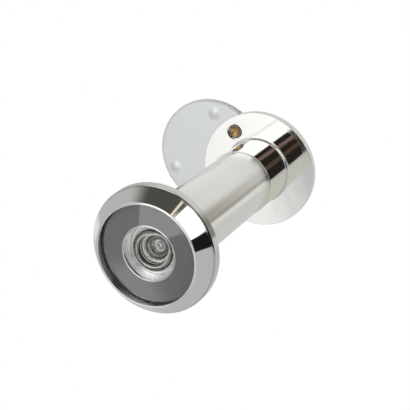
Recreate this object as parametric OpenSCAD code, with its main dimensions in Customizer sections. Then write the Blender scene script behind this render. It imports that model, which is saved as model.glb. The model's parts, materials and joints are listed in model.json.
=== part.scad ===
// Wide-angle door viewer with a swinging privacy cover, for a 16 mm door hole.
// The origin is on the optical axis, in the plane where the bezel's back meets the door.
// +Y runs from the outside of the door to the inside, +Z runs towards the cover's pivot.

/* [Barrel] */
// Outside diameter of the barrel that fills the door hole
barrel_d = 16; // [15.8:0.1:16.4]
// Length of the barrel behind the bezel's back
barrel_len = 44; // [36:1:50]
// Nominal diameter of the thread between barrel and inner tube
thread_d = 14; // [13.8:0.05:14.2]
// Thread pitch
thread_pitch = 1; // [0.75:0.25:1.25]
// Depth of the thread on the inner tube
thread_depth = 0.4; // [0.2:0.05:0.5]

/* [Bezel] */
// Outside diameter of the bezel
bezel_d = 29; // [28.6:0.2:34]
// Height of the bezel's lip above the door
bezel_h = 5.8; // [5.7:0.1:6.2]
// Height of the bezel's straight rim, where the bevel starts
bezel_rim_h = 2.3; // [1.5:0.1:2.6]
// Diameter of the opening inside the lip
lip_d = 22.6; // [22:0.1:22.8]
// Width of the lip's flat front
lip_w = 0.45; // [0.3:0.05:0.6]

/* [Rosette] */
// Diameter of the rosette on the inside of the door
rosette_d = 29.8; // [29:0.2:34]
// Thickness of the rosette
rosette_t = 2.4; // [2.3:0.1:3]
// Diameter of the collar between barrel and rosette
collar_d = 16.4; // [16.2:0.1:17]
// Length of the collar, which sets the thinnest door with barrel_len
collar_len = 11.5; // [8:0.5:16]

/* [Privacy cover] */
// Diameter of the cover
cover_d = 29.2; // [28:0.2:32]
// Thickness of the cover
cover_t = 2; // [1.6:0.1:2.4]
// Gap between rosette and cover, filled by the washer at the pivot
cover_gap = 0.5; // [0.4:0.05:0.8]
// Distance from the optical axis to the pivot
pivot_r = 11.3; // [10.9:0.1:11.6]
// Angle that the cover is swung open
cover_open = 80; // [0:1:180]
// Diameter of the stand-off dimples on the cover
dimple_d = 2.9; // [2:0.1:3.4]
// Number of dimples round the cover
dimple_count = 3; // [0:1:4]

/* [Optics] */
// Radius of the hemispherical hollow in the objective lens
hollow_r = 5.2; // [4.8:0.05:5.3]
// Diameter of the bright bore in the mask behind the front glass
eye_d = 12; // [11.8:0.05:12.1]
// Clear diameter of the inner tube
tube_bore_d = 12; // [11:0.1:12.2]

/* [Hidden] */
$fn = 96;
over = 1;              // how far a cutter runs past the face it cuts
play = 0.05;           // radial clearance of running and drop-in fits

// bezel and barrel head, along the axis from the door's face
glass_front = -bezel_h + 0.5;
glass_t = 1.6;
mask_front = glass_front + glass_t;
mask_t = 0.5;
head_front = mask_front + mask_t;
gasket_t = 0.8;
head_r = 11.7;
gasket_r = 12.9;
gasket_seat_r = barrel_d / 2 + 0.3;
edge_break = 0.25;
seal_r = 9.5;
seal_wire_r = 0.6;

// barrel bores
eye_r = eye_d / 2;
optics_r = 6.7;
ledge_y = 1.6;
female_r = thread_d / 2 + play;
tube_r = thread_d / 2;

// lens stack, each piece resting on the one before
lens_r = optics_r - play;
boss_end = ledge_y - 0.1;
spacer_bore_r = 4.8;
front_spacer_t = 1.5;
second_front = ledge_y + front_spacer_t;
second_t = 2.5;
rear_spacer_front = second_front + second_t;
rear_spacer_t = 1;
third_front = rear_spacer_front + rear_spacer_t;
third_t = 2.4;
stack_end = third_front + third_t;
retainer_t = 1.2;

// inner half
tube_front = stack_end + retainer_t + 0.4;
tube_bore_r = tube_bore_d / 2;
rosette_front = barrel_len + collar_len;
rosette_back = rosette_front + rosette_t;
rosette_r = rosette_d / 2;
collar_r = collar_d / 2;
web_t = 0.8;
eyepiece_r = 7.3;
eyepiece_front = rosette_front + web_t;
eyepiece_edge_t = 0.9;
eyepiece_bulge = 1.1;
eye_ring_front = eyepiece_front + eyepiece_edge_t;
eye_ring_bore_r = 5.2;
baffle_y = 30;
baffle_t = 1;
baffle_bore_r = 4.2;

// pivot stack
shank_r = 1.6;
rivet_end_r = 1.8;
rivet_end_t = 0.7;
well_r = 2.05;
well_t = 0.9;
washer_r = 3.6;
cover_front = rosette_back + cover_gap;
cover_back = cover_front + cover_t;
spring_t = 0.4;
rivet_head_r = 2.9;
rivet_head_h = 1.1;
dimple_h = 0.3;
dimple_ring_r = cover_d / 2 - 3.3;
dimple_start = 80;

// Turns a flat outline of radius and height into a body about the +Y axis.
module turned() {
    rotate([-90, 0, 0]) rotate_extrude() children();
}

// Plain ring between two radii and two places along the axis.
module ring(inner_r, outer_r, front, back) {
    turned() translate([inner_r, front]) square([outer_r - inner_r, back - front]);
}

// Disc-shaped outline with rounded outer corners, for use inside turned().
module round_edge_outline(outer_r, front, back, round_r) {
    translate([0, front]) square([outer_r - round_r, back - front]);
    translate([0, front + round_r]) square([outer_r, back - front - 2 * round_r]);
    translate([outer_r - round_r, front + round_r]) circle(round_r, $fn = 48);
    translate([outer_r - round_r, back - round_r]) circle(round_r, $fn = 48);
}

// Straight bore about the +Y axis.
module bore(radius, front, back) {
    rotate([-90, 0, 0]) translate([0, 0, front]) cylinder(r = radius, h = back - front);
}

// Ball on the axis, used for lens surfaces.
module ball(radius, centre) {
    translate([0, centre, 0]) sphere(radius, $fn = 128);
}

// Centre of a ball that leaves a hollow of the given depth at a face.
function hollow_centre(radius, face, depth, side) = face + side * (depth - radius);

// Two opposite slots for a spanner in the back face of a ring.
module spanner_slots(outer_r, back, depth) {
    slot_w = 1.2;
    translate([-outer_r - over, back - depth, -slot_w / 2])
        cube([2 * (outer_r + over), depth + over, slot_w]);
}

module front_bezel() {
    bezel_r = bezel_d / 2;
    lip_r = lip_d / 2;
    color("gainsboro") turned() polygon([
        [lip_r, -bezel_h],
        [lip_r + lip_w, -bezel_h],
        [bezel_r, -bezel_rim_h],
        [bezel_r, -edge_break],
        [bezel_r - edge_break, 0],
        [gasket_r, 0],
        [gasket_r, -gasket_t],
        [head_r, -gasket_t],
        [head_r, glass_front],
        [lip_r, glass_front]
    ]);
}

module outer_barrel() {
    chamfer = 0.4;
    barrel_r = barrel_d / 2;
    color("silver") difference() {
        turned() polygon([
            [eye_r, head_front],
            [head_r, head_front],
            [head_r, -gasket_t],
            [gasket_seat_r, -gasket_t],
            [gasket_seat_r, 0],
            [barrel_r, 0],
            [barrel_r, barrel_len - chamfer],
            [barrel_r - chamfer, barrel_len],
            [female_r, barrel_len],
            [female_r, stack_end],
            [optics_r, stack_end],
            [optics_r, ledge_y],
            [eye_r, ledge_y]
        ]);
        ring(seal_r - seal_wire_r - play, seal_r + seal_wire_r + play,
             head_front - over, head_front + 2 * seal_wire_r);
    }
}

module objective_lens() {
    boss_r = eye_r - play;
    color([0.75, 0.8, 0.82, 0.5]) difference() {
        union() {
            bore(head_r - play, glass_front, mask_front);
            bore(boss_r, mask_front, boss_end);
        }
        ball(hollow_r, boss_end);
    }
}

module lens_mask() {
    color("dimgray") ring(eye_r, head_r - play, mask_front, head_front);
}

module lens_seal() {
    color("black") turned() translate([seal_r, head_front + seal_wire_r])
        circle(seal_wire_r, $fn = 48);
}

module front_spacer() {
    color("silver") ring(spacer_bore_r, lens_r, ledge_y, second_front);
}

module second_lens() {
    front_ball_r = 12;
    back_ball_r = 20;
    color([0.75, 0.8, 0.82, 0.5]) difference() {
        bore(lens_r, second_front, rear_spacer_front);
        ball(front_ball_r, hollow_centre(front_ball_r, second_front, 0.95, 1));
        ball(back_ball_r, hollow_centre(back_ball_r, rear_spacer_front, 0.55, -1));
    }
}

module rear_spacer() {
    color("silver") ring(spacer_bore_r, lens_r, rear_spacer_front, third_front);
}

module third_lens() {
    back_ball_r = 14;
    color([0.75, 0.8, 0.82, 0.5]) difference() {
        bore(lens_r, third_front, stack_end);
        ball(back_ball_r, hollow_centre(back_ball_r, stack_end, 0.85, -1));
    }
}

module optics_retainer() {
    retainer_back = stack_end + retainer_t;
    color("silver") difference() {
        ring(spacer_bore_r, female_r, stack_end, retainer_back);
        spanner_slots(female_r, retainer_back, 0.5);
    }
}

module door_gasket() {
    color("black") ring(gasket_seat_r + play, gasket_r - play, -gasket_t, 0);
}

module inner_tube() {
    lead_in = 0.5;
    root_r = tube_r - thread_depth;
    thread_start = tube_front + lead_in;
    turns = floor((barrel_len - 1 - thread_start) / thread_pitch);
    ridges = [for (i = [0 : turns - 1], side = [0.15, 0.5, 0.85])
        [side == 0.5 ? tube_r : root_r, thread_start + (i + side) * thread_pitch]];
    color("silver") turned() polygon(concat(
        [[tube_bore_r, tube_front], [root_r, tube_front]],
        ridges,
        [
            [root_r, barrel_len - 0.6],
            [tube_r, barrel_len - 0.2],
            [tube_r, rosette_front],
            [tube_bore_r, rosette_front]
        ]
    ));
}

module baffle_ring() {
    color("silver") ring(baffle_bore_r, tube_bore_r, baffle_y, baffle_y + baffle_t);
}

module rear_flange() {
    edge_round = 0.6;
    color("gainsboro") difference() {
        turned() {
            round_edge_outline(rosette_r, rosette_front, rosette_back, edge_round);
            translate([0, barrel_len]) square([collar_r, collar_len]);
        }
        bore(tube_r, barrel_len - over, rosette_front);
        bore(tube_bore_r, barrel_len, rosette_back);
        bore(eyepiece_r, eyepiece_front, rosette_back + over);
        translate([0, 0, pivot_r]) {
            bore(shank_r, rosette_front - over, rosette_back + over);
            bore(well_r, rosette_front - over, rosette_front + well_t);
        }
    }
}

module eyepiece_lens() {
    bulge_edge_r = tube_bore_r - 0.4;
    bulge_ball_r = (bulge_edge_r * bulge_edge_r + eyepiece_bulge * eyepiece_bulge)
        / (2 * eyepiece_bulge);
    color([0.75, 0.8, 0.82, 0.5]) {
        bore(eyepiece_r - play, eyepiece_front, eye_ring_front);
        intersection() {
            ball(bulge_ball_r, eyepiece_front - eyepiece_bulge + bulge_ball_r);
            bore(bulge_edge_r, eyepiece_front - 2, eye_ring_front);
        }
    }
}

module eyepiece_retainer() {
    color("dimgray") difference() {
        ring(eye_ring_bore_r, eyepiece_r, eye_ring_front, rosette_back);
        spanner_slots(eyepiece_r, rosette_back, 0.4);
    }
}

module cover_washer() {
    color("ivory") translate([0, 0, pivot_r])
        ring(shank_r + play, washer_r, rosette_back, cover_front);
}

// One stand-off dimple: a low cap that rises from the cover's front face.
module dimple() {
    dimple_r = dimple_d / 2;
    cap_r = (dimple_r * dimple_r + dimple_h * dimple_h) / (2 * dimple_h);
    intersection() {
        ball(cap_r, cover_front - dimple_h + cap_r);
        bore(dimple_r, cover_front - over, cover_front + 0.1);
    }
}

// The cover closed over the eyepiece, before it is swung open.
module closed_cover() {
    edge_round = 0.7;
    difference() {
        union() {
            turned() round_edge_outline(cover_d / 2, cover_front, cover_back, edge_round);
            for (i = [0 : 1 : dimple_count - 1])
                rotate([0, dimple_start + i * 360 / dimple_count, 0])
                    translate([0, 0, dimple_ring_r]) dimple();
        }
        translate([0, 0, pivot_r]) bore(shank_r + play, cover_front - over, cover_back + over);
    }
}

module cover_disc() {
    color("lightsteelblue") translate([0, 0, pivot_r]) rotate([0, cover_open, 0])
        translate([0, 0, -pivot_r]) closed_cover();
}

module spring_washer() {
    color("silver") translate([0, 0, pivot_r])
        ring(shank_r + play, rivet_head_r - 0.1, cover_back, cover_back + spring_t);
}

module pivot_rivet() {
    end_front = rosette_front + well_t - rivet_end_t;
    head_front = cover_back + spring_t;
    head_ball_r = (rivet_head_r * rivet_head_r + rivet_head_h * rivet_head_h)
        / (2 * rivet_head_h);
    color("peru") translate([0, 0, pivot_r]) {
        bore(rivet_end_r, end_front, rosette_front + well_t);
        bore(shank_r, end_front, head_front + 0.1);
        intersection() {
            ball(head_ball_r, head_front + rivet_head_h - head_ball_r);
            bore(rivet_head_r, head_front, head_front + 2 * rivet_head_h);
        }
    }
}

front_bezel();
outer_barrel();
objective_lens();
lens_mask();
lens_seal();
front_spacer();
second_lens();
rear_spacer();
third_lens();
optics_retainer();
door_gasket();
inner_tube();
baffle_ring();
rear_flange();
eyepiece_lens();
eyepiece_retainer();
cover_washer();
cover_disc();
spring_washer();
pivot_rivet();
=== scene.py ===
"""Looks of the door viewer: fine turned meshes, plated metal, glass optics and a soft studio."""

import json
import math

import bmesh
import bpy
from mathutils import Matrix, Vector


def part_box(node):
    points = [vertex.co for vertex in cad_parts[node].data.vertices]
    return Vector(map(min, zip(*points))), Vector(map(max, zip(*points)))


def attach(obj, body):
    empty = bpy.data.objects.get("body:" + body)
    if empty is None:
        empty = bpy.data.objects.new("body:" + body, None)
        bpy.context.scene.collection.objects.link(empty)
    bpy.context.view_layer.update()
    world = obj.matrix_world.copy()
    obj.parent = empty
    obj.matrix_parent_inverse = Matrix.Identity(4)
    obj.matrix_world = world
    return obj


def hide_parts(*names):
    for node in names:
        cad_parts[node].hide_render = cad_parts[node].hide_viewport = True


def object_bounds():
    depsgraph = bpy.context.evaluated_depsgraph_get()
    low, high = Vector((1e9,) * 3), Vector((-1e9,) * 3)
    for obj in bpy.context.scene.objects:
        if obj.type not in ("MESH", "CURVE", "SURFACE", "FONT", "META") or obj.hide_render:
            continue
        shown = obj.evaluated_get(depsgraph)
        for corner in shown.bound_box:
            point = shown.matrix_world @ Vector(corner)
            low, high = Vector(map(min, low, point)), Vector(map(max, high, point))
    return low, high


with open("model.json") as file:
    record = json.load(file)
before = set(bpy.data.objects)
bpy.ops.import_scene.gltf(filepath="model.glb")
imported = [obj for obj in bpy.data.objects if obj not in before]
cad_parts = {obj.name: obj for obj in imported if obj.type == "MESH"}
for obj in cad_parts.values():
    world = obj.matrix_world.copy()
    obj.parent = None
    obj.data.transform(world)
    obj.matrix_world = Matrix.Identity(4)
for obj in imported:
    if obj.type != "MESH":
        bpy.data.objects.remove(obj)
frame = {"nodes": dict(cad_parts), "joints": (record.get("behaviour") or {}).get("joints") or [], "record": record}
cad_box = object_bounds()

MM = 0.001
TURN = 2 * math.pi
HAIR = 0.02  # gap in millimetres that keeps touching faces apart
WHITE = (1.0, 1.0, 1.0)
GLASS_INDEX = 1.52
OUTER = "outer_body"
INNER = "inner_body"
COVER = "cover_body"
BORE_R = 6.0  # clear bore of the eye, of the tube and of the rosette, in millimetres
RIVET_R = 1.6  # shank of the rivet
RIVET_END_R = 1.8  # staked end of the rivet
WELL_R = 2.05  # well in the rosette that the staked end sits in
WELL_DEPTH = 0.9
CUP_R = 1.3  # about where bronze turns darker on the staked end
SEAT_DEPTH = 0.8  # how far the eyepiece's seat lies behind the rosette's front
CLEAR_R = 5.6  # outside this radius the front glass only lets light through,
CLEAR_DEPTH = 0.5  # down to this far in front of the mask


# ---------------------------------------------------------------- sizes from the frame

def low(node):
    """Lowest corner of a CAD node, in millimetres."""
    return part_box(node)[0] / MM


def high(node):
    """Highest corner of a CAD node, in millimetres."""
    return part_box(node)[1] / MM


def radius_of(node):
    """Outer radius of a CAD node that is round about the optical axis or one parallel to it."""
    return (high(node).x - low(node).x) / 2


def front_of(node):
    """Where a CAD node starts along the optical axis, from the door's outer face."""
    return low(node).y


def back_of(node):
    """Where a CAD node ends along the optical axis."""
    return high(node).y


BEZEL_R = radius_of("front_bezel")
HEAD_R = radius_of("outer_barrel")
GASKET_R = radius_of("door_gasket")
LENS_R = radius_of("objective_lens")
COLLAR_FRONT = back_of("outer_barrel")
ROSETTE_R = radius_of("rear_flange")
ROSETTE_BACK = back_of("rear_flange")
ROSETTE_FRONT = back_of("inner_tube")
TUBE_R = radius_of("inner_tube")
COVER_R = radius_of("cover_disc")
COVER_CENTRE = ((high("cover_disc").x + low("cover_disc").x) / 2,
                (high("cover_disc").z + low("cover_disc").z) / 2)
SWING = next(joint for joint in frame["joints"] if joint["name"] == "cover_swing")
PIVOT = (SWING["pos_m"][0] / MM, SWING["pos_m"][2] / MM)
BARREL = next(mount for mount in frame["record"]["mounts"] if mount["name"] == "barrel")
BARREL_R = BARREL["dims"]["r_mm"]
SEAT_FRONT = ROSETTE_FRONT + SEAT_DEPTH


# ---------------------------------------------------------------- mesh helpers

def fillet(points, sizes, steps=6):
    """Rounds the corners of a closed outline. A size of 0 keeps its corner sharp."""
    out = []
    count = len(points)
    for i, (corner, size) in enumerate(zip(points, sizes)):
        if size == 0:
            out.append(tuple(corner))
            continue
        here = Vector(corner)
        before = (Vector(points[i - 1]) - here).normalized()
        after = (Vector(points[(i + 1) % count]) - here).normalized()
        half = before.angle(after) / 2
        reach = size / math.tan(half)
        centre = here + (before + after).normalized() * (size / math.sin(half))
        start = here + before * reach - centre
        end = here + after * reach - centre
        sweep = start.angle(end)
        for k in range(steps + 1):
            t = k / steps
            spoke = start * math.sin((1 - t) * sweep) + end * math.sin(t * sweep)
            out.append(tuple(centre + spoke / math.sin(sweep)))
    return out


def add_ring(bm, points, centre=(0.0, 0.0)):
    """A ring of vertices about an axis along +Y, from a (radius, y) point for each vertex."""
    ring = []
    for s, (r, y) in enumerate(points):
        a = TURN * s / len(points)
        x = centre[0] + r * math.cos(a)
        z = centre[1] + r * math.sin(a)
        ring.append(bm.verts.new((x * MM, y * MM, z * MM)))
    return ring


def skin(bm, rings):
    """Faces from each ring of vertices to the next, and from the last ring to the first.
    A ring of one vertex is a point on the axis."""
    for i, ring in enumerate(rings):
        other = rings[(i + 1) % len(rings)]
        if len(ring) == 1 and len(other) == 1:
            continue
        count = max(len(ring), len(other))
        for s in range(count):
            n = (s + 1) % count
            if len(ring) == 1:
                bm.faces.new((ring[0], other[s], other[n]))
            elif len(other) == 1:
                bm.faces.new((ring[s], other[0], ring[n]))
            else:
                bm.faces.new((ring[s], other[s], other[n], ring[n]))
    bmesh.ops.recalc_face_normals(bm, faces=bm.faces)


def object_of(name, bm):
    """An object with a bmesh's mesh, not yet in the scene."""
    mesh = bpy.data.meshes.new(name)
    bm.to_mesh(mesh)
    bm.free()
    return bpy.data.objects.new(name, mesh)


def lathe(name, outline, body, material, segments=192, centre=(0.0, 0.0), sharp=35):
    """Turns a closed outline of (radius, y) points, in millimetres, about an axis along +Y.
    A point on the axis becomes one vertex."""
    bm = bmesh.new()
    rings = []
    for r, y in outline:
        points = [(0.0, y)] if r < 1e-6 else [(r, y)] * segments
        rings.append(add_ring(bm, points, centre))
    skin(bm, rings)
    return finish_mesh(name, bm, body, material, sharp)


def finish_mesh(name, bm, body, material, sharp=35):
    """Makes an object of a bmesh, smooth with sharp corners, that rides on a body."""
    obj = object_of(name, bm)
    obj.data.polygons.foreach_set("use_smooth", [True] * len(obj.data.polygons))
    obj.data.set_sharp_from_angle(angle=math.radians(sharp))
    obj.data.materials.append(material)
    bpy.context.scene.collection.objects.link(obj)
    flat = obj.modifiers.new("flat_faces", "WEIGHTED_NORMAL")
    flat.keep_sharp = True
    flat.weight = 100
    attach(obj, body)
    return obj


def stands_for(node):
    """Hides a CAD node behind a piece that takes its finish from a material slot."""
    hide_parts(node)


def cut(obj, cutter):
    """Cuts one mesh out of another and keeps the result smooth with sharp corners."""
    bpy.context.scene.collection.objects.link(cutter)
    mod = obj.modifiers.new("cut", "BOOLEAN")
    mod.operation = "DIFFERENCE"
    mod.solver = "EXACT"
    mod.object = cutter
    obj.modifiers["flat_faces"].show_viewport = False
    bpy.context.view_layer.update()
    result = obj.evaluated_get(bpy.context.evaluated_depsgraph_get())
    done = bpy.data.meshes.new_from_object(result)
    obj.modifiers.remove(mod)
    obj.modifiers["flat_faces"].show_viewport = True
    old = obj.data
    obj.data = done
    done.name = obj.name
    bpy.data.meshes.remove(old)
    bpy.data.objects.remove(cutter)
    done.set_sharp_from_angle(angle=math.radians(35))


def plug(radius, front, back, centre, segments=96):
    """A cylinder along +Y for cutting a round hole."""
    bm = bmesh.new()
    turn = Matrix.Rotation(math.pi / 2, 4, "X")
    shift = Matrix.Translation(Vector((centre[0], (front + back) / 2, centre[1])) * MM)
    bmesh.ops.create_cone(bm, cap_ends=True, segments=segments, radius1=radius * MM,
                          radius2=radius * MM, depth=(back - front) * MM, matrix=shift @ turn)
    return object_of("cutter", bm)


def block(lo, hi):
    """A box between two corners for cutting a slot."""
    bm = bmesh.new()
    bmesh.ops.create_cube(bm, size=1.0)
    for v in bm.verts:
        for axis in range(3):
            v.co[axis] = (lo[axis] if v.co[axis] < 0 else hi[axis]) * MM
    return object_of("cutter", bm)


def arc(radius, centre_y, from_r, to_r, side, steps=24):
    """Points of a ball's outline between two distances from the axis.
    side is -1 for the part of the ball in front of its centre and +1 for the part behind."""
    start = math.asin(from_r / radius)
    end = math.asin(to_r / radius)
    out = []
    for k in range(steps + 1):
        a = start + (end - start) * k / steps
        out.append((radius * math.sin(a), centre_y + side * radius * math.cos(a)))
    return out


# ---------------------------------------------------------------- materials

class Nodes:
    """Short forms for building a node tree."""

    def __init__(self, tree):
        self.tree = tree
        tree.nodes.clear()

    def add(self, kind, **values):
        node = self.tree.nodes.new(kind)
        for key, value in values.items():
            if hasattr(node, key):
                setattr(node, key, value)
            else:
                node.inputs[key.replace("_", " ")].default_value = value
        return node

    def link(self, source, target):
        self.tree.links.new(source, target)

    def math(self, operation, a, b=0.0, c=0.0):
        node = self.add("ShaderNodeMath", operation=operation)
        for socket, value in zip(node.inputs, (a, b, c)):
            if isinstance(value, (int, float)):
                socket.default_value = value
            else:
                self.link(value, socket)
        return node.outputs[0]

    def mix_colour(self, factor, a, b):
        node = self.add("ShaderNodeMix", data_type="RGBA")
        for name, kind, value in (("Factor", "VALUE", factor), ("A", "RGBA", a), ("B", "RGBA", b)):
            socket = next(s for s in node.inputs if s.name == name and s.type == kind)
            if isinstance(value, tuple):
                socket.default_value = (*value, 1.0)
            else:
                self.link(value, socket)
        return next(s for s in node.outputs if s.type == "RGBA")

    def ramp(self, factor, stops):
        node = self.tree.nodes.new("ShaderNodeValToRGB")
        ramp = node.color_ramp
        while len(ramp.elements) < len(stops):
            ramp.elements.new(0.5)
        for element, (place, colour) in zip(ramp.elements, stops):
            element.position = place
            element.color = (*colour, 1.0)
        self.link(factor, node.inputs[0])
        return node.outputs[0]

    def noise(self, vector, scale, detail=3.0, roughness=0.5):
        node = self.add("ShaderNodeTexNoise", Scale=scale, Detail=detail, Roughness=roughness)
        self.link(vector, node.inputs["Vector"])
        return node.outputs["Fac"]

    def bump(self, height, strength, distance):
        node = self.add("ShaderNodeBump", Strength=strength, Distance=distance)
        self.link(height, node.inputs["Height"])
        return node.outputs["Normal"]

    def split(self, vector):
        node = self.add("ShaderNodeSeparateXYZ")
        self.link(vector, node.inputs[0])
        return node.outputs

    def step(self, value, at, soft):
        """0 below a value and 1 above it, smooth over a width of soft."""
        node = self.add("ShaderNodeMapRange", interpolation_type="SMOOTHSTEP")
        self.link(value, node.inputs["Value"])
        node.inputs["From Min"].default_value = at - soft / 2
        node.inputs["From Max"].default_value = at + soft / 2
        return node.outputs[0]

    def less(self, value):
        """1 less a value, which turns a mask inside out."""
        return self.math("SUBTRACT", 1.0, value)

    def mottle(self, factor, colour, dark, spread=0.2):
        """A colour that dips to dark times its value where the factor is low."""
        dip = tuple(c * dark for c in colour)
        return self.ramp(factor, [(0.5 - spread, dip), (0.5 + spread, colour)])

    def mix_shader(self, factor, a, b):
        node = self.add("ShaderNodeMixShader")
        self.link(factor, node.inputs[0])
        self.link(a, node.inputs[1])
        self.link(b, node.inputs[2])
        return node.outputs[0]


def new_material(name):
    """A material with its node helper, its principled surface and its place on the object."""
    material = bpy.data.materials.new(name)
    material.use_nodes = True
    nodes = Nodes(material.node_tree)
    out = nodes.add("ShaderNodeOutputMaterial")
    surface = nodes.add("ShaderNodeBsdfPrincipled")
    nodes.link(surface.outputs[0], out.inputs["Surface"])
    where = nodes.add("ShaderNodeTexCoord").outputs["Object"]
    return material, nodes, surface, where


def about_axis(nodes, where, centre=(0.0, 0.0)):
    """Offsets x and z of a point from an axis along +Y and its distance from it, in metres."""
    place = nodes.split(where)
    x = nodes.math("SUBTRACT", place[0], centre[0] * MM)
    z = nodes.math("SUBTRACT", place[2], centre[1] * MM)
    square = nodes.math("ADD", nodes.math("MULTIPLY", x, x), nodes.math("MULTIPLY", z, z))
    return x, z, nodes.math("SQRT", square)


def turned_noise(nodes, where, along, across, centre=(0.0, 0.0), detail=4.0):
    """Noise drawn out round an axis along +Y, like lathe marks or polishing swirls.
    along is how often it changes round the turn, and across is how often per millimetre."""
    x, z, radius = about_axis(nodes, where, centre)
    height = nodes.math("MULTIPLY", nodes.split(where)[1], across / MM)
    join = nodes.add("ShaderNodeCombineXYZ")
    nodes.link(nodes.math("MULTIPLY", nodes.math("DIVIDE", x, radius), along), join.inputs[0])
    nodes.link(height, join.inputs[1])
    nodes.link(nodes.math("MULTIPLY", nodes.math("DIVIDE", z, radius), along), join.inputs[2])
    node = nodes.add("ShaderNodeTexNoise", noise_dimensions="4D", Scale=1.0, Detail=detail,
                     Roughness=0.6)
    nodes.link(join.outputs[0], node.inputs["Vector"])
    nodes.link(nodes.math("MULTIPLY", radius, across / MM), node.inputs["W"])
    return node.outputs["Fac"]


def plated(name, colour, rough, rough_spread, wave=0.02, haze=0.0, centre=(0.0, 0.0), rim=None,
           rim_rough=0.08):
    """Polished plating: a near mirror with faint polishing swirls, haze and a trace of waviness.
    rim is a radius in millimetres and a tone for a duller, brushed band outside it."""
    material, nodes, surface, where = new_material(name)
    swirl = turned_noise(nodes, where, 3.0, 20.0, centre, 6.0)
    patch = nodes.noise(where, 140.0, 2.0)
    tone = nodes.mottle(patch, colour, 0.97)
    rough_value = nodes.math("MULTIPLY_ADD", swirl, rough_spread, rough)
    if rim:
        band = nodes.step(about_axis(nodes, where, centre)[2], rim[0] * MM, 0.1 * MM)
        tone = nodes.mix_colour(band, tone, rim[1])
        rough_value = nodes.math("MULTIPLY_ADD", band, rim_rough, rough_value)
    nodes.link(tone, surface.inputs["Base Color"])
    nodes.link(nodes.math("MULTIPLY_ADD", patch, haze, rough_value), surface.inputs["Roughness"])
    surface.inputs["Metallic"].default_value = 1.0
    if wave:
        ripple = nodes.noise(where, 160.0, 1.0)
        nodes.link(nodes.bump(ripple, 1.0, wave * MM), surface.inputs["Normal"])
    return material


def satin(name, colour):
    """Satin plating: fine lathe marks round the axis and a soft, broad reflection."""
    material, nodes, surface, where = new_material(name)
    lines = turned_noise(nodes, where, 1.5, 12.0)
    clouds = nodes.noise(where, 90.0, 3.0)
    tone = nodes.mottle(clouds, colour, 0.95)
    nodes.link(tone, surface.inputs["Base Color"])
    nodes.link(nodes.math("MULTIPLY_ADD", lines, 0.06, 0.14), surface.inputs["Roughness"])
    surface.inputs["Metallic"].default_value = 1.0
    nodes.link(nodes.bump(lines, 0.25, 0.004 * MM), surface.inputs["Normal"])
    return material


def turned_metal(name, colour, rough, pitch=0.12, dirt_tone=0.8):
    """Bare machined metal with tool marks round the axis."""
    material, nodes, surface, where = new_material(name)
    marks = turned_noise(nodes, where, 0.5, 1.0 / pitch, detail=2.0)
    dirt = nodes.noise(where, 260.0, 4.0, 0.6)
    tone = nodes.mottle(dirt, colour, dirt_tone, 0.15)
    nodes.link(tone, surface.inputs["Base Color"])
    nodes.link(nodes.math("MULTIPLY_ADD", marks, 0.1, rough), surface.inputs["Roughness"])
    surface.inputs["Metallic"].default_value = 1.0
    nodes.link(nodes.bump(marks, 0.4, 0.01 * MM), surface.inputs["Normal"])
    return material


def dull(name, colour, rough, grain, depth):
    """A dull non-metal, such as rubber or nylon, with a fine grain."""
    material, nodes, surface, where = new_material(name)
    speck = nodes.noise(where, grain, 4.0, 0.6)
    tone = nodes.mottle(speck, colour, 0.8)
    nodes.link(tone, surface.inputs["Base Color"])
    nodes.link(nodes.math("MULTIPLY_ADD", speck, 0.15, rough), surface.inputs["Roughness"])
    nodes.link(nodes.bump(speck, 0.5, depth * MM), surface.inputs["Normal"])
    return material


def optical_glass(name, ring=None):
    """Clear polished glass with a faint tint. ring is a radius and a height, in millimetres:
    outside and in front of them it only lets light through, and the mask behind it shines."""
    material, nodes, surface, where = new_material(name)
    smear = nodes.noise(where, 300.0, 3.0, 0.6)
    surface.inputs["Transmission Weight"].default_value = 1.0
    surface.inputs["IOR"].default_value = GLASS_INDEX
    surface.inputs["Roughness"].default_value = 0.0
    tone = nodes.ramp(smear, [(0.4, (0.998, 0.998, 1.0)), (0.75, (0.99, 0.99, 0.995))])
    nodes.link(tone, surface.inputs["Base Color"])
    if ring:
        clear = nodes.add("ShaderNodeBsdfRefraction", IOR=GLASS_INDEX)
        nodes.link(tone, clear.inputs["Color"])
        outside = nodes.step(about_axis(nodes, where)[2], ring[0] * MM, HAIR * MM)
        behind = nodes.step(nodes.split(where)[1], ring[1] * MM, HAIR * MM)
        ring_mask = nodes.math("MULTIPLY", outside, nodes.less(behind))
        both = nodes.mix_shader(ring_mask, surface.outputs[0], clear.outputs[0])
        nodes.link(both, nodes.tree.nodes["Material Output"].inputs["Surface"])
    return material


def enamel(name, colour, rough, gloss):
    """A painted ring: even colour with faint clouding under a glossy skin of refraction gloss."""
    material, nodes, surface, where = new_material(name)
    cloud = nodes.noise(where, 120.0, 2.0)
    tone = nodes.mottle(cloud, colour, 0.95)
    nodes.link(tone, surface.inputs["Base Color"])
    surface.inputs["Roughness"].default_value = rough
    surface.inputs["IOR"].default_value = gloss
    return material


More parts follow.
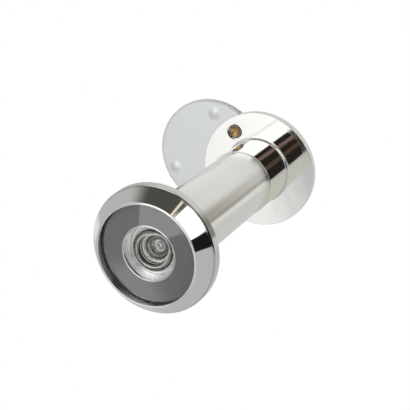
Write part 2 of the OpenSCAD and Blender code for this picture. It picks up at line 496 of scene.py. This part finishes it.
def brass_with_dark_rim(name, cup_tone, rim_dark_tone, head_tone, centre, bright_r, head_front):
    """Brass rivet: its staked end is bronze in the cup and darker towards the rim, and its
    head is clean brass."""
    material, nodes, surface, where = new_material(name)
    stain = nodes.noise(where, 900.0, 4.0, 0.6)
    reach = nodes.math("DIVIDE", about_axis(nodes, where, centre)[2], 2 * bright_r * MM)
    reach = nodes.math("ADD", reach, nodes.math("MULTIPLY_ADD", stain, 0.3, -0.15))
    # the staked end's colour: bronze in the cup, darker from about 1.6 mm out to the rim
    staked = nodes.ramp(reach, [(0.35, cup_tone), (0.6, rim_dark_tone)])
    clean = nodes.mottle(stain, head_tone, 0.85, 0.15)
    head = nodes.step(nodes.split(where)[1], head_front * MM, 0.2 * MM)
    nodes.link(nodes.mix_colour(head, staked, clean), surface.inputs["Base Color"])
    nodes.link(nodes.math("MULTIPLY_ADD", stain, 0.2, 0.12), surface.inputs["Roughness"])
    surface.inputs["Metallic"].default_value = 1.0
    nodes.link(nodes.bump(stain, 0.6, 0.03 * MM), surface.inputs["Normal"])
    return material


CHROME = plated("polished_chrome", (0.9, 0.895, 0.875), 0.015, 0.03)
BEZEL_CHROME = plated("bezel_chrome", (0.9, 0.895, 0.875), 0.015, 0.03,
                      rim=(BEZEL_R - 0.35, (0.69, 0.685, 0.66)))
COVER_CHROME = plated("cover_chrome", (0.88, 0.9, 0.91), 0.33, 0.05, wave=0, haze=0.06,
                      centre=COVER_CENTRE, rim=(COVER_R - 0.6, (0.9, 0.9, 0.9)), rim_rough=0.3)
SATIN = satin("satin_barrel", (0.88, 0.875, 0.84))
MASK = enamel("mask_grey", (0.175, 0.172, 0.192), 0.0, 2.4)
GLASS_EDGE = plated("glass_edge", (0.9, 0.9, 0.92), 0.03, 0.03)
FRONT_GLASS = optical_glass("front_glass", (CLEAR_R, front_of("lens_mask") - CLEAR_DEPTH))
GLASS = optical_glass("lens_glass")
BRIGHT = turned_metal("spacer_metal", (0.95, 0.95, 0.955), 0.18, dirt_tone=0.97)
BLACKENED = turned_metal("blackened_metal", (0.045, 0.045, 0.05), 0.35)
THREAD = turned_metal("thread_metal", (0.9, 0.88, 0.82), 0.1, dirt_tone=0.92)
STEEL = turned_metal("spring_steel", (0.62, 0.62, 0.63), 0.25)
BRASS = brass_with_dark_rim("rivet_brass", (0.55, 0.34, 0.15), (0.2, 0.17, 0.14), (0.86, 0.68, 0.42),
                   PIVOT, CUP_R, back_of("cover_disc"))
RUBBER = dull("black_rubber", (0.02, 0.02, 0.021), 0.65, 1800.0, 0.02)
NYLON = dull("nylon", (0.8, 0.78, 0.7), 0.45, 900.0, 0.01)


# ---------------------------------------------------------------- outer half

def make_bezel():
    """Bevelled bezel with a thin rounded lip, hollow behind for glass, barrel head and gasket."""
    lip_front = front_of("front_bezel")
    glass_front = front_of("objective_lens")
    gasket_front = front_of("door_gasket")
    lip_r, lip_w, rim_front, edge = 11.3, 0.45, -2.3, 0.25
    outline = fillet(
        [(lip_r, lip_front), (lip_r + lip_w, lip_front), (BEZEL_R, rim_front), (BEZEL_R, 0),
         (GASKET_R + 0.05, 0), (GASKET_R + 0.05, gasket_front), (HEAD_R, gasket_front),
         (HEAD_R, glass_front), (lip_r, glass_front)],
        [0.1, 0.3, 0.7, edge, 0.1, 0, 0, 0, 0], steps=10)
    piece = lathe("bezel", outline, OUTER, BEZEL_CHROME, segments=256, sharp=50)
    stands_for("front_bezel")


def make_barrel():
    """Satin barrel with its head flange inside the bezel and a small chamfer at its end."""
    head_front = front_of("outer_barrel")
    head_back = front_of("door_gasket")
    gasket_seat_r = BARREL_R + 0.3
    optics_r, ledge, female_r = 6.7, 1.6, TUBE_R + 0.05
    stack_end = back_of("third_lens")
    outline = fillet(
        [(BORE_R, head_front), (HEAD_R, head_front), (HEAD_R, head_back),
         (gasket_seat_r, head_back), (gasket_seat_r, 0), (BARREL_R, 0), (BARREL_R, COLLAR_FRONT),
         (female_r, COLLAR_FRONT), (female_r, stack_end), (optics_r, stack_end),
         (optics_r, ledge), (BORE_R, ledge)],
        [0, 0.1, 0, 0, 0, 0, 0.35, 0.15, 0, 0, 0, 0])
    piece = lathe("barrel", outline, OUTER, SATIN, segments=256)
    stands_for("outer_barrel")


def make_objective():
    """Front glass: flat polished face, edge bevel, boss and a deep round hollow behind."""
    front, boss_back = front_of("objective_lens"), back_of("objective_lens")
    flange_back = front_of("lens_mask")
    boss_r, hollow_r = 5.95, 5.2
    hollow = arc(hollow_r, boss_back, hollow_r, 0.0, -1, steps=40)
    solid = fillet([(0, front), (LENS_R, front), (LENS_R, flange_back), (boss_r, flange_back),
                    (boss_r, boss_back)], [0, 0.15, 0.1, 0, 0.08])
    piece = lathe("objective", solid + hollow, OUTER, FRONT_GLASS, segments=192, sharp=60)
    piece.data.materials.append(GLASS_EDGE)
    for face in piece.data.polygons:
        if math.hypot(face.center.x, face.center.z) > (LENS_R - 0.01) * MM:
            face.material_index = 1
    stands_for("objective_lens")


def make_mask():
    """Dark grey mirror-like ring behind the glass, with a bright rolled edge round the eye."""
    front, back = front_of("lens_mask") + HAIR, back_of("lens_mask")
    edge_w = 0.3
    inner_r = BORE_R + edge_w
    ring = [(inner_r, front), (LENS_R, front), (LENS_R, back), (inner_r, back)]
    piece = lathe("mask", ring, OUTER, MASK, segments=192)
    stands_for("lens_mask")
    edge = [(BORE_R, front), (inner_r, front), (inner_r, back), (BORE_R, back)]
    rim = lathe("mask_edge", edge, OUTER, CHROME, segments=192)


# ---------------------------------------------------------------- inner half

def groove_depth(turns, depth):
    """Depth of a helical groove at a phase in turns: round crest and a sharper root."""
    phase = turns - math.floor(turns)
    ridge = 1 - abs(2 * phase - 1)
    return depth * (1 - min(1.0, 1.25 * ridge))


def thread_outline(front, end, pitch, depth, segments):
    """Rings of (radius, y) points for a helical thread that leads in and runs out."""
    rows_per_turn = 12
    rows = int(round((end - front) / pitch * rows_per_turn))
    outline = []
    for row in range(rows + 1):
        y = front + (end - front) * row / rows
        lead_in = min(1.0, (y - front) / pitch)
        run_out = min(1.0, (end - y) / pitch)
        ring = []
        for s in range(segments):
            groove = groove_depth(y / pitch - s / segments, depth)
            groove = (groove * lead_in + depth * (1 - lead_in)) * run_out
            ring.append((TUBE_R - groove, y))
        outline.append(ring)
    return outline


def make_inner_tube():
    """Tube with a true helical thread that leads in at its tip and runs out at the collar."""
    front, back = front_of("inner_tube"), back_of("inner_tube")
    segments, thread_end = 128, COLLAR_FRONT - 0.3
    outline = thread_outline(front, thread_end, pitch=1.0, depth=0.4, segments=segments)
    for corner in ((TUBE_R, back), (BORE_R, back), (BORE_R, front)):
        outline.append([corner] * segments)
    bm = bmesh.new()
    skin(bm, [add_ring(bm, points) for points in outline])
    piece = finish_mesh("threaded_tube", bm, INNER, THREAD, sharp=70)
    stands_for("inner_tube")


def make_rosette():
    """Collar and rosette in one, with the rivet's well on the door side and the eyepiece seat."""
    collar_r = BARREL_R + 0.2
    seat_r = radius_of("eyepiece_retainer")
    outline = fillet(
        [(TUBE_R, COLLAR_FRONT), (collar_r, COLLAR_FRONT), (collar_r, ROSETTE_FRONT),
         (ROSETTE_R, ROSETTE_FRONT), (ROSETTE_R, ROSETTE_BACK), (seat_r, ROSETTE_BACK),
         (seat_r, SEAT_FRONT), (BORE_R, SEAT_FRONT), (BORE_R, ROSETTE_FRONT),
         (TUBE_R, ROSETTE_FRONT)],
        [0.05, 0.15, 0.55, 0.12, 0.6, 0.15, 0, 0, 0, 0], steps=8)
    piece = lathe("rosette", outline, INNER, CHROME, segments=256)
    cut(piece, plug(WELL_R, ROSETTE_FRONT - 1, ROSETTE_FRONT + WELL_DEPTH, PIVOT))
    cut(piece, plug(RIVET_R, ROSETTE_FRONT - 1, ROSETTE_BACK + 1, PIVOT, segments=64))
    stands_for("rear_flange")


def make_rivet():
    """Brass rivet: a cupped, punched end on the door side and a domed head behind."""
    front, back = front_of("pivot_rivet"), back_of("pivot_rivet")
    shoulder = ROSETTE_FRONT + WELL_DEPTH
    head_front = back_of("spring_washer")
    head_r = radius_of("pivot_rivet")
    rise = back - head_front
    ball = (head_r * head_r + rise * rise) / (2 * rise)
    dome = arc(ball, back - ball, head_r, 0.0, 1, steps=20)
    cup = [(0, front + 0.6), (0.3, front + 0.56), (0.6, front + 0.42), (0.95, front + 0.3),
           (1.25, front + 0.08), (1.4, front)]
    end = fillet(cup + [(RIVET_END_R, front), (RIVET_END_R, shoulder), (RIVET_R, shoulder),
                        (RIVET_R, head_front), (head_r, head_front)],
                 [0, 0, 0.3, 0.3, 0.2, 0.1, 0.25, 0, 0, 0, 0], steps=8)
    piece = lathe("rivet", end + dome, INNER, BRASS, segments=96, centre=PIVOT)
    stands_for("pivot_rivet")


def make_eyepiece():
    """Inside lens, bulging into the tube, and its slotted ring."""
    front, back = front_of("eyepiece_lens"), back_of("eyepiece_lens")
    edge_r = radius_of("eyepiece_lens")
    bulge_r = 5.6
    rise = SEAT_FRONT - front
    ball = (bulge_r * bulge_r + rise * rise) / (2 * rise)
    bulge = arc(ball, front + ball, 0.0, bulge_r, -1, steps=24)
    edge = fillet([(bulge_r, SEAT_FRONT), (edge_r, SEAT_FRONT), (edge_r, back), (0, back)],
                  [0, 0.08, 0.08, 0])
    outline = bulge + edge[1:]
    piece = lathe("eyepiece", outline, INNER, GLASS, segments=160, sharp=50)
    stands_for("eyepiece_lens")
    ring_r, bore_r, slot = edge_r + 0.05, 5.2, 0.6
    outline = fillet([(bore_r, back), (ring_r, back), (ring_r, ROSETTE_BACK),
                      (bore_r, ROSETTE_BACK)], [0, 0, 0.08, 0.12])
    ring = lathe("eyepiece_ring", outline, INNER, BLACKENED, segments=160)
    depth = ROSETTE_BACK - 0.4
    cut(ring, block((-ring_r - 1, depth, -slot), (ring_r + 1, ROSETTE_BACK + 1, slot)))
    stands_for("eyepiece_retainer")


# ---------------------------------------------------------------- privacy cover

def dimple_places():
    """Centres of the dimples, as (x, z), spaced evenly round the cover from the rivet's side."""
    first, count, ring_r = math.radians(80), 3, COVER_R - 3.3
    arm = math.atan2(PIVOT[0] - COVER_CENTRE[0], PIVOT[1] - COVER_CENTRE[1])
    places = []
    for k in range(count):
        a = arm + first + TURN * k / count
        places.append((COVER_CENTRE[0] + ring_r * math.sin(a),
                       COVER_CENTRE[1] + ring_r * math.cos(a)))
    return places


def press_dimples(mesh, front, radius=2.0, rise=0.2):
    """Presses low round bumps out of the flat front face of the cover."""
    places = dimple_places()
    for v in mesh.vertices:
        if abs(v.co.y / MM - front) > 0.001:
            continue
        for x, z in places:
            gap = math.hypot(v.co.x / MM - x, v.co.z / MM - z) / radius
            if gap < 1:
                v.co.y -= rise * MM * (0.5 + 0.5 * math.cos(math.pi * gap))


def make_cover():
    """Round cover with rounded edges, low stand-off dimples and a hole for the rivet. Its flat
    front lies behind the CAD cover's frontmost point by the height of the CAD dimples."""
    cad_dimple = 0.3
    front, back = front_of("cover_disc") + cad_dimple, back_of("cover_disc")
    edge, fine_from, fine_step, fine_count = 0.7, 8.5, 0.12, 41
    face = [(r, front) for r in (0, 2, 4, 6, 8)]
    face += [(fine_from + fine_step * k, front) for k in range(fine_count)]
    rim = fillet([(fine_from, front), (COVER_R, front), (COVER_R, back), (0, back)],
                 [0, edge, edge, 0], steps=10)
    piece = lathe("cover", face + rim[1:], COVER, COVER_CHROME, segments=360, centre=COVER_CENTRE)
    press_dimples(piece.data, front)
    cut(piece, plug(RIVET_R + 0.05, front - 1, back + 1, PIVOT, segments=64))
    stands_for("cover_disc")


# ---------------------------------------------------------------- carried-over CAD nodes

def finish_cad_nodes():
    """Gives each CAD node that stays in view its own procedural material."""
    finishes = {
        "lens_seal": RUBBER, "front_spacer": BRIGHT, "second_lens": GLASS, "rear_spacer": BRIGHT,
        "third_lens": GLASS, "optics_retainer": BRIGHT, "door_gasket": RUBBER,
        "baffle_ring": BRIGHT, "cover_washer": NYLON, "spring_washer": STEEL,
    }
    for name, material in finishes.items():
        node = frame["nodes"][name]
        node.data.materials.clear()
        node.data.materials.append(material)


# ---------------------------------------------------------------- studio

AIM = Vector((BEZEL_R - 0.8, 2.9, 2.6)) * MM  # the point in the middle of the photograph
VIEW_AZIMUTH = math.radians(31.9)
VIEW_DOWN = math.radians(3.59)
VIEW_ROLL = math.radians(31.55)
VIEW_DISTANCE = 0.23
VIEW_LENS = 96.95
DOOR_INWARD = (0.0, 1.0, 0.0)  # from the door's outer face to the room


def camera_axes():
    """Right, up and back directions of the camera."""
    forward = Vector((-math.sin(VIEW_AZIMUTH) * math.cos(VIEW_DOWN),
                      math.cos(VIEW_AZIMUTH) * math.cos(VIEW_DOWN), -math.sin(VIEW_DOWN)))
    level = forward.cross(Vector((0, 0, 1))).normalized()
    roll = Matrix.Rotation(VIEW_ROLL, 3, forward)
    right = roll @ level
    return right, right.cross(forward), -forward


def make_camera():
    """Camera at the photograph's angle."""
    right, up, back = camera_axes()
    data = bpy.data.cameras.new("camera")
    data.lens = VIEW_LENS
    data.sensor_width = 36
    data.clip_start = 0.01
    camera = bpy.data.objects.new("camera", data)
    bpy.context.scene.collection.objects.link(camera)
    turn = Matrix((right, up, back)).transposed().to_4x4()
    camera.matrix_world = Matrix.Translation(AIM + back * VIEW_DISTANCE) @ turn
    bpy.context.scene.camera = camera


class Studio(Nodes):
    """Soft light from all round, painted in directions about the camera, in degrees:
    azimuth 0 is towards the camera and 90 is to its right, elevation 90 is above it."""

    def __init__(self, tree):
        super().__init__(tree)
        where = self.add("ShaderNodeTexCoord").outputs["Generated"]
        across, above, back = (self.dot(where, axis) for axis in camera_axes())
        self.azimuth = self.math("DEGREES", self.math("ARCTAN2", across, back))
        self.elevation = self.math("DEGREES", self.math("ARCSINE", above))
        self.where = where
        self.light = (0.0, 0.0, 0.0)

    def dot(self, vector, axis):
        """How far a direction points along an axis."""
        node = self.add("ShaderNodeVectorMath", operation="DOT_PRODUCT")
        self.link(vector, node.inputs[0])
        node.inputs[1].default_value = axis
        return node.outputs["Value"]

    def between(self, value, low_end, high_end, low_soft, high_soft):
        """1 between two values and 0 outside them, each edge with its own softness."""
        start = self.step(value, low_end, low_soft)
        return self.math("MULTIPLY", start, self.less(self.step(value, high_end, high_soft)))

    def paint(self, mask, light):
        """Lays a light, grey or coloured, over what is there where the mask is 1."""
        colour = light if isinstance(light, tuple) else (light,) * 3
        self.light = self.mix_colour(mask, self.light, colour)

    def panel(self, azimuth, elevation, light, soft=4.0, wobble=0.0, lean=0.0):
        """A card or a lamp between two azimuths and two elevations. soft is the width of its
        edges, one number or four: from the first azimuth, to the second, bottom and top.
        wobble is how far its sides wander, in degrees of azimuth, and lean is how far it tips
        sideways, in degrees of azimuth per degree of elevation."""
        left, right, bottom, top = soft if isinstance(soft, tuple) else (soft,) * 4
        half = (azimuth[1] - azimuth[0]) / 2
        offset = self.math("SUBTRACT", self.azimuth, azimuth[0] + half)
        offset = self.math("WRAP", offset, 180.0, -180.0)
        if lean:
            tip = self.math("SUBTRACT", self.elevation, elevation[0])
            offset = self.math("SUBTRACT", offset, self.math("MULTIPLY", tip, lean))
        if wobble:
            ripple = self.noise(self.where, 9.0, 2.0)
            shake = self.math("MULTIPLY_ADD", ripple, wobble, -wobble / 2)
            offset = self.math("ADD", offset, shake)
        across = self.between(offset, -half, half, left, right)
        along = self.between(self.elevation, *elevation, bottom, top)
        self.paint(self.math("MULTIPLY", across, along), light)

    def disc(self, azimuth, elevation, radius, light, soft=4.0):
        """A round lamp or dark patch about a direction."""
        right, up, back = camera_axes()
        a, e = math.radians(azimuth), math.radians(elevation)
        centre = right * (math.sin(a) * math.cos(e)) + up * math.sin(e)
        centre += back * (math.cos(a) * math.cos(e))
        apart = self.math("DEGREES", self.math("ARCCOSINE", self.dot(self.where, centre)))
        self.paint(self.less(self.step(apart, radius, soft)), light)


def paint_studio(studio):
    """Cards and lamps, each laid over the ones before it, to match the photograph's reflections."""
    # far side: a pale disc, a greyer one on it, and grey and dark cards round them
    studio.disc(153.5, 18.8, 33.2, (0.95, 0.95, 0.92), soft=4)
    studio.disc(153.5, 18.8, 28.5, 0.66, soft=4)
    studio.panel((120, 184), (-22, 1), 0.63, soft=(8, 6, 8, 8))
    studio.panel((90, 121), (9, 36), (0.22, 0.2, 0.17), soft=(4, 5, 2, 24))
    studio.panel((110, 125), (8.5, 15), (0.3, 0.28, 0.24), soft=(2, 4, 1, 4))
    studio.panel((184.2, 189), (5, 21), 0.05, soft=(2, 1.5, 4, 4))
    studio.disc(-165, -8, 20, 0.57, soft=16)
    studio.disc(-151, 2, 8, 0.8, soft=8)
    # dark, soft-edged ceiling
    studio.disc(10, 73, 41, (0.078, 0.075, 0.066), soft=26)
    # pale patch overhead and a pale band under the dark ceiling
    studio.disc(-100, 83, 21.5, 0.95, soft=4)
    studio.panel((-92, 8), (18, 43), 0.95, soft=(10, 4, 4, 6))
    # what the flat faces see
    studio.panel((-70, -63.3), (-50, -34.4), 0.85, soft=1.5)
    studio.panel((-62.3, -59.6), (-44, -34.6), 0.4, soft=2)
    studio.panel((-59.8, -53.2), (-44, -14), 0.93, soft=(1, 5, 3, 3))
    studio.panel((-63.6, -56), (-34.05, -14), 1.0, soft=(0.06, 4, 0.15, 3), lean=0.55)
    studio.panel((-56, -42), (-31.5, -8), 1.1, soft=(5, 5, 1, 4))
    # what the collar sees: a pale card below, a lamp, and a dark card with warm streaks
    studio.panel((-48, 8), (-60, -31), (0.62, 0.62, 0.56), soft=(6, 6, 6, 6))
    studio.panel((-52, -20), (-30, 20), 1.3, soft=(4, 3, 4, 4))
    studio.panel((-21.5, 6), (-28.5, 14), (0.02, 0.017, 0.015), soft=(3, 3, 3, 3))
    studio.panel((-13.5, -8.5), (-8, 10), (0.22, 0.15, 0.13), soft=3, wobble=11)
    studio.panel((-2, 2.5), (-12, -5), (0.09, 0.06, 0.042), soft=3, wobble=11)
    # large lamp, laid over a black card to its right, and a warm patch at its upper left
    studio.panel((42.5, 100), (-16, 45), 0.01, soft=(1, 14, 1.5, 10))
    studio.panel((18, 42), (-2, 38), 1.3, soft=(0.6, 1, 1, 1), wobble=5)
    studio.panel((10.5, 16.5), (36, 48), (0.85, 0.8, 0.64), soft=(3, 1, 3, 1), wobble=13)


def make_studio():
    """World light: the painted studio, with plain white for the camera and for what is seen
    through the lenses towards the room."""
    world = bpy.data.worlds.new("studio")
    world.use_nodes = True
    studio = Studio(world.node_tree)
    studio.light = (0.5, 0.5, 0.5)
    paint_studio(studio)
    path = studio.add("ShaderNodeLightPath")
    inward = studio.step(studio.dot(studio.where, DOOR_INWARD), 0.0, 0.1)
    through = studio.math("MULTIPLY", path.outputs["Is Transmission Ray"], inward)
    backdrop = studio.math("MAXIMUM", path.outputs["Is Camera Ray"], through)
    seen = studio.mix_colour(backdrop, studio.light, WHITE)
    background = studio.add("ShaderNodeBackground")
    studio.link(seen, background.inputs["Color"])
    output = studio.add("ShaderNodeOutputWorld")
    studio.link(background.outputs[0], output.inputs["Surface"])
    bpy.context.scene.world = world


def floor_material():
    """White to the camera from above, and clear to everything else."""
    material = bpy.data.materials.new("floor")
    material.use_nodes = True
    nodes = Nodes(material.node_tree)
    shine = nodes.add("ShaderNodeEmission")
    shine.inputs["Color"].default_value = (*WHITE, 1.0)
    clear = nodes.add("ShaderNodeBsdfTransparent")
    path = nodes.add("ShaderNodeLightPath")
    above = nodes.less(nodes.add("ShaderNodeNewGeometry").outputs["Backfacing"])
    shown = nodes.math("MULTIPLY", path.outputs["Is Camera Ray"], above)
    output = nodes.add("ShaderNodeOutputMaterial")
    both = nodes.mix_shader(shown, clear.outputs[0], shine.outputs[0])
    nodes.link(both, output.inputs["Surface"])
    return material


def make_floor():
    """Plain pale floor just under the viewer. Reflections look through it to the studio's light."""
    bm = bmesh.new()
    bmesh.ops.create_grid(bm, x_segments=1, y_segments=1, size=2.0)
    floor = object_of("floor", bm)
    floor.data.materials.append(floor_material())
    floor.location.z = cad_box[0][2] - 0.5 * MM
    bpy.context.scene.collection.objects.link(floor)


def set_colours_and_bounces():
    """Plain colours, and enough bounces for light to cross all the lenses and come back."""
    scene = bpy.context.scene
    scene.view_settings.view_transform = "Standard"
    scene.cycles.max_bounces = 32
    scene.cycles.glossy_bounces = 24
    scene.cycles.transmission_bounces = 24


make_bezel()
make_barrel()
make_objective()
make_mask()
make_inner_tube()
make_rosette()
make_rivet()
make_eyepiece()
make_cover()
finish_cad_nodes()
make_studio()
make_floor()
make_camera()
set_colours_and_bounces()

bpy.context.view_layer.update()
